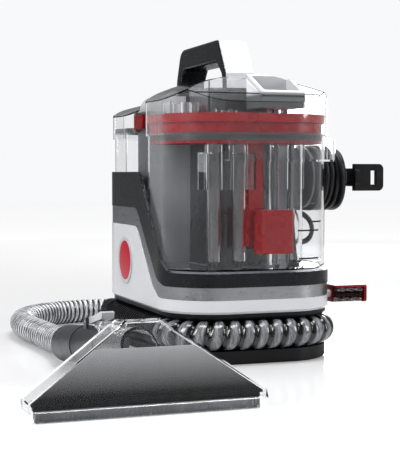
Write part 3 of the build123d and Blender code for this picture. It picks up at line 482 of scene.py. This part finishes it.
def two_tone(name, axis, start, end, first, second, roughness):
    """Plastic that goes from one colour to another between two places along an axis."""
    material, tree, shader, place = begin(name)
    tone = blend_colours(tree, along(tree, place, axis, start, end), first, second)
    tree.links.new(tone, shader.inputs["Base Color"])
    uneven = spread(tree, noise_node(tree, place, 70, 5), 0.85 * roughness, 1.2 * roughness)
    tree.links.new(uneven, shader.inputs["Roughness"])
    shader.inputs["Specular IOR Level"].default_value = 0.3
    bumped(tree, shader, noise_node(tree, place, 900, 2), 0.03, 0.0001)
    return material


finish_of = {
    "black_plastic": plastic("black plastic", (0.004, 0.004, 0.005), 0.40, gloss=0.25),
    "charcoal_plastic": plastic(
        "charcoal plastic", (0.008, 0.0085, 0.010), 0.26, grain=900, relief=0.02, gloss=0.3
    ),
    "white_gloss": plastic(
        "white gloss", (0.70, 0.71, 0.73), 0.16, grain=500, relief=0.03, mottle=0.015, coat=0.3
    ),
    "silver_paint": brushed("silver paint", (0.42, 0.43, 0.45), 0.30, squeeze=(1, 1, 5)),
    "grey_plastic": plastic("grey plastic", (0.10, 0.105, 0.115), 0.34, gloss=0.3),
    "badge_red": plastic(
        "badge red", (0.48, 0.002, 0.022), 0.2, grain=500, relief=0.02, mottle=0.06, gloss=0.25
    ),
    "red_plastic": plastic(
        "red plastic", (0.165, 0.0012, 0.0035), 0.28, grain=600, relief=0.03, gloss=0.3
    ),
    "clear_plastic": clear("clear plastic", (0.95, 0.956, 0.962), 0.02, 1.35),
    "pump_hose": clear("pump hose", (0.9, 0.9, 0.88), 0.2, 1.35, haze=0.3),
    "seal_rubber": plastic(
        "seal rubber", (0.03, 0.031, 0.033), 0.5, grain=900, relief=0.12, gloss=0.25
    ),
    "cord_rubber": plastic(
        "cord rubber", (0.005, 0.005, 0.006), 0.38, grain=800, relief=0.10, gloss=0.3
    ),
    "hose_skin": ribbed_skin("hose skin with painted light"),
    "bristle_dark": plastic("dark bristle", (0.02, 0.02, 0.022), 0.45, mottle=0.4),
    "bristle_grey": plastic(
        "grey bristle", (0.24, 0.245, 0.255), 0.55, grain=260, mottle=0.3
    ),
    "board_green": plastic(
        "circuit board", (0.01, 0.09, 0.03), 0.3, grain=700, relief=0.1, mottle=0.3
    ),
    "motor_steel": brushed("zinc steel", (0.55, 0.55, 0.54), 0.3),
    "fan_metal": brushed("fan metal", (0.72, 0.72, 0.74), 0.28, squeeze=(20, 1, 1)),
    "valve_plastic": plastic("valve plastic", (0.62, 0.62, 0.60), 0.35),
}
tank_clear = clear("tank plastic", (0.945, 0.952, 0.958), 0.02, 1.29)
nozzle_clear = clear("nozzle plastic", (0.95, 0.956, 0.96), 0.01, 1.32, wave=0.005)
node_finish = {
    "recovery_tank": tank_clear,
    "clean_tank": tank_clear,
    "nozzle_shell": nozzle_clear,
    "nozzle_panel": window_panel("window panel with painted light"),
    "standpipes": clear("pipe plastic", (0.97, 0.97, 0.975), 0.03, 1.45),
    "separator_plate": clear("plate plastic", (0.97, 0.97, 0.975), 0.03, 1.4),
    "hose_cuff": plastic("cuff grey", (0.030, 0.032, 0.036), 0.30, gloss=0.35),
    "tool_handle": plastic("grip grey", (0.022, 0.023, 0.026), 0.32, gloss=0.35),
    "spray_trigger": plastic("trigger grey", (0.50, 0.505, 0.52), 0.2),
    "badge": plastic("badge rim", (0.55, 0.56, 0.58), 0.2),
    "tower_shell": two_tone(
        "tower walls", "X", 0.0155, 0.0165, (0.27, 0.28, 0.295), (0.006, 0.006, 0.007), 0.3
    ),
    "tower_cap": two_tone(
        "cap greys", "Y", -0.0405, -0.0400, (0.42, 0.425, 0.435), (0.022, 0.023, 0.026), 0.3
    ),
    # Painted shade in the grip's recess: near black below the rim, pale grey above it.
    "lid_grip": two_tone(
        "grip frame with painted recess shade", "Z", 0.274, 0.279, (0.05, 0.052, 0.055), (0.62, 0.63, 0.65), 0.22
    ),
}
slot_of = {entry["node"]: entry["material_slot"] for entry in frame["record"]["subparts"]}
for name, node in nodes.items():
    finish = node_finish.get(name, finish_of[slot_of[name]])
    node.data.materials.clear()
    node.data.materials.append(finish)
stretch.data.materials.append(finish_of["hose_skin"])
cord.data.materials.append(finish_of["cord_rubber"])


# ------------------------------------------------------------------ softened edges
SOFT_EDGE = 0.0007
SOFT_ANGLE = 35


def soften(name):
    """Small rounded edges on a moulded part."""
    modifier = nodes[name].modifiers.new("soft edges", "BEVEL")
    modifier.width = SOFT_EDGE
    modifier.segments = 2
    modifier.limit_method = "ANGLE"
    modifier.angle_limit = math.radians(SOFT_ANGLE)
    modifier.harden_normals = True
    modifier.use_clamp_overlap = True


for name in ("foot_plate", "channel_roof", "tower_cap", "power_plug"):
    soften(name)


# ------------------------------------------------------------------ bristles
def bristles(name, roots, length, thick, lean, body, finish):
    """Many thin tapered bristles; roots are (point, direction) pairs."""
    verts, faces = [], []
    for root, direction in roots:
        aim = (direction + Vector([dice.uniform(-lean, lean) for _ in range(3)])).normalized()
        across = aim.orthogonal().normalized()
        other = aim.cross(across)
        first = len(verts)
        reach = length * dice.uniform(0.94, 1.0)
        for share, width in ((0.0, 1.0), (0.6, 0.9), (1.0, 0.45)):
            centre = root + aim * reach * share
            for corner in range(3):
                turn = math.tau * corner / 3
                offset = math.cos(turn) * across + math.sin(turn) * other
                verts.append(centre + thick * width * offset)
        for level in (0, 3):
            for corner in range(3):
                after = (corner + 1) % 3
                low, high = first + level, first + level + 3
                faces.append((low + corner, low + after, high + after, high + corner))
        faces.append((first + 6, first + 7, first + 8))
    made = piece(name, verts, faces, body)
    made.data.materials.append(finish)
    return made


# Nozzle strip: staggered rows of bristles that point down from the strip's top.
STRIP_ROWS = 7
STRIP_COUNT = 270
STRIP_PITCH = 0.000703
STRIP_SIDE_MARGIN = 0.0012
STRIP_END_MARGIN = 0.0008
STRIP_REACH = 0.0088
STRIP_THICK = 0.00042
STRIP_LEAN = 0.045
DOWN = Vector((0, 0, -1))
strip_low, strip_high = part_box("brush_strip")
row_span = strip_high[0] - strip_low[0] - 2 * STRIP_SIDE_MARGIN
strip_roots = []
for row in range(STRIP_ROWS):
    x = strip_low[0] + STRIP_SIDE_MARGIN + row * row_span / (STRIP_ROWS - 1)
    for index in range(STRIP_COUNT):
        y = strip_low[1] + STRIP_END_MARGIN + (index + 0.5 * (row % 2)) * STRIP_PITCH
        strip_roots.append((Vector((x, y, strip_high[2])), DOWN))
strip = bristles(
    "nozzle_bristles", strip_roots, STRIP_REACH, STRIP_THICK, STRIP_LEAN,
    "nozzle", finish_of["bristle_grey"],
)
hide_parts("brush_strip")

# Spare brush: three rows of six round tufts.  The middle row is dark, and in the outer rows
# either the inner or the outer strands of each tuft are pale, by turns.
TUFT_ROWS, TUFT_COUNT = 3, 6
TUFT_PITCH_Y, TUFT_PITCH_Z = 0.0052, 0.0053
TUFT_MARGIN = 0.0021
TUFT_RADIUS = 0.0019
STRANDS = 36
STRAND_TURN = 2.4
STRAND_THICK = 0.00026
STRAND_LEAN = 0.035
TIP_GAP = 0.0008
OUTWARDS = Vector((1, 0, 0))
tuft_low, tuft_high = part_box("brush_tufts")
tuft_length = tuft_high[0] - tuft_low[0] - TIP_GAP
dark_roots, pale_roots = [], []
for row in range(TUFT_ROWS):
    for index in range(TUFT_COUNT):
        centre_y = tuft_low[1] + TUFT_MARGIN + TUFT_PITCH_Y * index
        centre_z = tuft_low[2] + TUFT_MARGIN + TUFT_PITCH_Z * row
        for strand in range(STRANDS):
            turn = STRAND_TURN * strand
            far = TUFT_RADIUS * math.sqrt(strand / STRANDS)
            y = centre_y + far * math.cos(turn)
            z = centre_z + far * math.sin(turn)
            outer_half = 2 * strand // STRANDS
            pale = row != 1 and (row // 2 + index + outer_half) % 2
            roots = pale_roots if pale else dark_roots
            roots.append((Vector((tuft_low[0], y, z)), OUTWARDS))
dark_tufts = bristles(
    "brush_dark_tufts", dark_roots, tuft_length, STRAND_THICK, STRAND_LEAN,
    "spare_brush", finish_of["bristle_dark"],
)
bristles(
    "brush_pale_tufts", pale_roots, tuft_length, STRAND_THICK, STRAND_LEAN,
    "spare_brush", plastic("pale bristle", (0.75, 0.62, 0.64), 0.4, mottle=0.2),
)
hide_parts("brush_tufts")


# ------------------------------------------------------------------ small details
def turned(name, profile, centre, axis, sides, body, slot):
    """Solid turned about an axis through a point; profile is (radius, height) pairs."""
    axis = Vector(axis).normalized()
    across = axis.orthogonal().normalized()
    other = axis.cross(across)
    verts = []
    for radius, height in profile:
        for side in range(sides):
            angle = math.tau * side / sides
            spoke = math.cos(angle) * across + math.sin(angle) * other
            verts.append(Vector(centre) + axis * height + radius * spoke)
    made = piece(name, verts, ring_faces(len(profile), sides), body)
    made.data.materials.append(finish_of[slot])


# Low red dome inside the badge's pale rim.
BADGE_CENTRE = (-0.033, -0.0952, 0.097)
DOME_RADIUS = 0.0257
DOME_RISE = 0.0016
DOME_RINGS = 8
dome = []
for ring in range(DOME_RINGS):
    angle = 0.5 * math.pi * ring / DOME_RINGS
    dome.append((DOME_RADIUS * math.cos(angle), DOME_RISE * math.sin(angle)))
turned("badge_dome", dome, BADGE_CENTRE, (0, -1, 0), 64, "base", "badge_red")

# Two stepped posts that stand on the red ring under the clear lid.
POST_PLACES = ((0.026, -0.052), (0.026, 0.052))
POST_FOOT = 0.2435
POST = [(0.0034, 0.0), (0.0034, 0.003), (0.0026, 0.004), (0.0026, 0.024), (0.0020, 0.026)]
for number, (x, y) in enumerate(POST_PLACES):
    turned(
        f"ring_post_{number}", POST, (x, y, POST_FOOT), (0, 0, 1), 24,
        "recovery_cover", "red_plastic",
    )

# Heads of the screws in the underside, each with a socket.
SCREW_PLACES = ((-0.104, 0.034), (-0.104, -0.034), (0.104, 0.034), (0.104, -0.034))
SCREW_SEAT = 0.0013
SCREW = [(0.0028, 0.0), (0.0028, 0.0006), (0.0022, 0.0011), (0.0012, 0.0012), (0.0011, 0.0005)]
for number, (x, y) in enumerate(SCREW_PLACES):
    turned(f"foot_screw_{number}", SCREW, (x, y, SCREW_SEAT), (0, 0, -1), 24, "base", "motor_steel")

# Level marks moulded on the recovery tank: plain bars, no lettering.  They follow its rounded
# near corner; each is (where it starts and ends along Y, its lower edge).
LEVEL_BARS = [(0.0385, 0.0655, 0.1350), (0.0400, 0.0655, 0.1060), (0.0560, 0.0690, 0.1440)]
BAR_HEIGHT = 0.0016
BAR_STEPS = 12
CORNER_X, CORNER_Y = 0.080, 0.036
WALL_RADIUS, BAR_RADIUS = 0.0590, 0.0595


def corner_bar(name, start, end, low):
    """Raised bar that follows the rounded near corner of the recovery tank."""
    verts, faces = [], []
    for step in range(BAR_STEPS + 1):
        y = start + (end - start) * step / BAR_STEPS
        for z in (low, low + BAR_HEIGHT):
            for radius in (WALL_RADIUS, BAR_RADIUS):
                reach = math.sqrt(radius ** 2 - max(0.0, y - CORNER_Y) ** 2)
                verts.append((CORNER_X + reach, y, z))
    for step in range(BAR_STEPS):
        first = 4 * step
        for one, two in ((0, 1), (1, 3), (3, 2), (2, 0)):
            faces.append((first + one, first + two, first + 4 + two, first + 4 + one))
    last = 4 * BAR_STEPS
    faces.append((0, 2, 3, 1))
    faces.append((last, last + 1, last + 3, last + 2))
    made = piece(name, verts, faces, "recovery", smooth=False)
    made.data.materials.append(finish_of["charcoal_plastic"])


for number, (start, end, low) in enumerate(LEVEL_BARS):
    corner_bar(f"level_bar_{number}", start, end, low)

# Pale bead round the end of the cord hub.
BEAD_STRAIGHT = 0.0250
BEAD_RADIUS = 0.0196
BEAD_Y = 0.1416
BEAD_THICK = 0.0008
BEAD_STEP = 0.0015
bead_points = []
for side, angle in TURN + TURN[:1]:
    turn = math.radians(angle)
    x = side * BEAD_STRAIGHT + BEAD_RADIUS * math.cos(turn)
    bead_points.append((x, BEAD_Y, HUB_Z + BEAD_RADIUS * math.sin(turn)))
bead_line = line_of(bead_points, BEAD_STEP)[0]
bead = tube("hub_bead", bead_line, lambda distance, angle: BEAD_THICK, 10, "base")
bead.data.materials.append(finish_of["white_gloss"])

# Coil spring of the clean tank's valve.
WIRE = 0.0006
END_GAP = 1.2 * WIRE
COIL_TURNS = 6
TURN_STEPS = 24
spring_low, spring_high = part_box("valve_spring")
spring_x = (spring_low[0] + spring_high[0]) / 2
spring_y = (spring_low[1] + spring_high[1]) / 2
spring_length = spring_high[2] - spring_low[2]
coil_radius = (spring_high[0] - spring_low[0]) / 2 - WIRE
coil_rise = spring_length - 2 * END_GAP
coil_steps = COIL_TURNS * TURN_STEPS
coil_line = []
for step in range(coil_steps + 1):
    angle = math.tau * step / TURN_STEPS
    coil_line.append(Vector((
        spring_x + coil_radius * math.cos(angle), spring_y + coil_radius * math.sin(angle),
        spring_low[2] + END_GAP + coil_rise * step / coil_steps,
    )))
coil = tube("valve_coil", coil_line, lambda distance, angle: WIRE, 8, "clean")
coil.data.materials.append(finish_of["motor_steel"])
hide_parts("valve_spring")
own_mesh(coil)


# ------------------------------------------------------------------ floor and light
def straight_view(tree):
    """1 for what is seen directly or through clear plastic, 0 for bounced light."""
    path = tree.nodes.new("ShaderNodeLightPath")
    either = tree.nodes.new("ShaderNodeMath")
    either.operation = "MAXIMUM"
    tree.links.new(path.outputs["Is Camera Ray"], either.inputs[0])
    tree.links.new(path.outputs["Is Transmission Ray"], either.inputs[1])
    return either.outputs["Value"]


# The floor glows a little for the eye, more with distance, so that it meets the background.
FLOOR_HALF = 6
FLOOR_DROP = 0.0002
GLOW_FROM, GLOW_TO = 0.3, 2.2
GLOW_NEAR, GLOW_FAR = 0.22, 0.76
floor_mesh = bpy.data.meshes.new("floor")
floor_corners = [
    (-FLOOR_HALF, -FLOOR_HALF, 0), (FLOOR_HALF, -FLOOR_HALF, 0),
    (FLOOR_HALF, FLOOR_HALF, 0), (-FLOOR_HALF, FLOOR_HALF, 0),
]
floor_mesh.from_pydata(floor_corners, [], [(0, 1, 2, 3)])
floor = bpy.data.objects.new("floor", floor_mesh)
floor.location.z = -FLOOR_DROP
scene.collection.objects.link(floor)
floor_material, floor_tree, floor_shader, floor_place = begin("floor")
floor_shader.inputs["Base Color"].default_value = (0.62, 0.62, 0.63, 1)
floor_shader.inputs["Roughness"].default_value = 0.12
from_centre = floor_tree.nodes.new("ShaderNodeVectorMath")
from_centre.operation = "LENGTH"
floor_tree.links.new(floor_place, from_centre.inputs[0])
glow = ramped(
    floor_tree, from_centre.outputs["Value"], GLOW_FROM, GLOW_TO, GLOW_NEAR, GLOW_FAR
)
shown = floor_tree.nodes.new("ShaderNodeMath")
shown.operation = "MULTIPLY"
floor_tree.links.new(glow, shown.inputs[0])
floor_tree.links.new(straight_view(floor_tree), shown.inputs[1])
floor_shader.inputs["Emission Color"].default_value = (1, 1, 1, 1)
floor_tree.links.new(shown.outputs["Value"], floor_shader.inputs["Emission Strength"])
floor_mesh.materials.append(floor_material)

# The background is bright to the eye and dimmer as a light, so that dark plastic stays dark.
SKY_LIGHT, SKY_SEEN = 0.20, 1.0
world = bpy.data.worlds.new("world")
scene.world = world
world.use_nodes = True
sky = world.node_tree.nodes["Background"]
sky.inputs["Color"].default_value = (0.94, 0.945, 0.955, 1)
level = ramped(world.node_tree, straight_view(world.node_tree), 0, 1, SKY_LIGHT, SKY_SEEN)
world.node_tree.links.new(level, sky.inputs["Strength"])


def soft_box(name, place, aim, size, power):
    """Rectangular studio lamp aimed at a point."""
    lamp = bpy.data.lights.new(name, "AREA")
    lamp.shape = "RECTANGLE"
    lamp.size, lamp.size_y = size
    lamp.energy = power
    made = bpy.data.objects.new(name, lamp)
    made.location = place
    made.rotation_euler = (Vector(aim) - Vector(place)).to_track_quat("-Z", "Y").to_euler()
    scene.collection.objects.link(made)


soft_box("key", (0.5, -1.7, 1.2), (0, 0, 0.15), (0.7, 1.4), 34)
soft_box("fill", (1.2, 1.5, 0.9), (0, 0, 0.15), (0.35, 1.2), 16)
soft_box("top", (0.1, 0.1, 1.9), (0, 0, 0.1), (1.2, 1.2), 40)
soft_box("back", (-1.4, 0.9, 0.8), (0, 0, 0.15), (0.6, 1.2), 14)

scene.view_settings.view_transform = "Standard"
